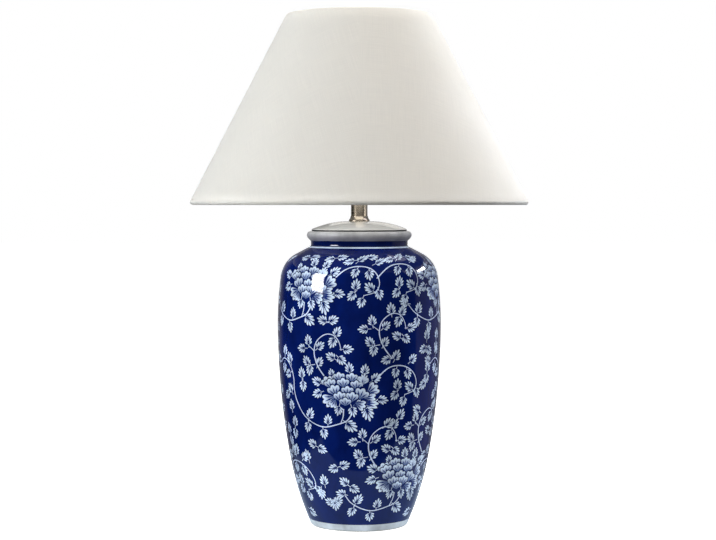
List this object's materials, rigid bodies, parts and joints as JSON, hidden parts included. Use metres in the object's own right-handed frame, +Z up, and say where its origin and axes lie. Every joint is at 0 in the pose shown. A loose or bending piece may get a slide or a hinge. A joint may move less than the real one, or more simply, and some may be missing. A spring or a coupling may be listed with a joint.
{
  "type": "table lamp",
  "caption": "Table lamp with a tall glazed ginger-jar base in a blue and white peony scroll, a domed lid, a slim metal neck and a wide fabric cone shade on a wire frame.",
  "frame": {"origin": "centre of the foot's underside, on the table", "axes": "+Z up along the lamp's axis, the pictured front towards -Y, the cord inlet at +Y"},
  "size_m": [0.4002, 0.4002, 0.6054],
  "materials": {
    "jar_glaze": "clear gloss glaze over a cobalt ground with a white peony scroll",
    "pale_glaze": "pale celadon-white gloss glaze",
    "felt": "pressed wool felt",
    "bush_rubber": "matt black rubber",
    "gasket_rubber": "matt dark rubber",
    "zinc_steel": "bright zinc plating",
    "nickel": "satin nickel",
    "holder_plastic": "black moulded thermoset",
    "white_ceramic": "unglazed white ceramic",
    "contact_brass": "plain brass",
    "shade_fabric": "off-white fine linen weave",
    "liner_plastic": "white stiff liner film",
    "wire_enamel": "white powder coat",
    "opal_glass": "opal white",
    "bulb_metal": "pressed aluminium",
    "vitrite": "black glassy insulator"
  },
  "bodies": {
    "base": {"jar": "jar_glaze", "foot_felt": "felt", "inlet_bush": "bush_rubber", "lid_gasket": "gasket_rubber", "jar_lid": "pale_glaze", "threaded_rod": "zinc_steel", "rubber_washer": "gasket_rubber", "rod_washer": "zinc_steel", "rod_nut": "zinc_steel", "neck_collar": "nickel", "neck_tube": "nickel", "holder_cap": "nickel", "holder_grub_screw": "zinc_steel", "holder_body": "holder_plastic", "contact_block": "white_ceramic", "screw_shell": "contact_brass", "centre_contact": "contact_brass", "terminal_screws": "contact_brass"},
    "shade": {"shade_cover": "shade_fabric", "shade_liner": "liner_plastic", "bottom_wire_ring": "wire_enamel", "top_wire_ring": "wire_enamel", "fitter_ring": "wire_enamel", "spider_arm_1": "wire_enamel", "spider_arm_2": "wire_enamel", "spider_arm_3": "wire_enamel"},
    "shade_ring": {"shade_ring": "holder_plastic"},
    "bulb": {"bulb_glass": "opal_glass", "bulb_cap": "bulb_metal", "bulb_insulator": "vitrite", "bulb_tip": "bulb_metal"}
  },
  "joints": [
    {"name": "shade_turn", "type": "hinge", "parent": "base", "child": "shade", "pos_m": [0, 0, 0.4208], "axis": [0, 0, 1], "continuous": true},
    {"name": "shade_ring_turn", "type": "hinge", "parent": "base", "child": "shade_ring", "pos_m": [0, 0, 0.4259], "axis": [0, 0, 1], "continuous": true},
    {"name": "bulb_lift", "type": "slide", "parent": "base", "child": "bulb", "axis": [0, 0, 1], "range_m": [0, 0.2]}
  ]
}
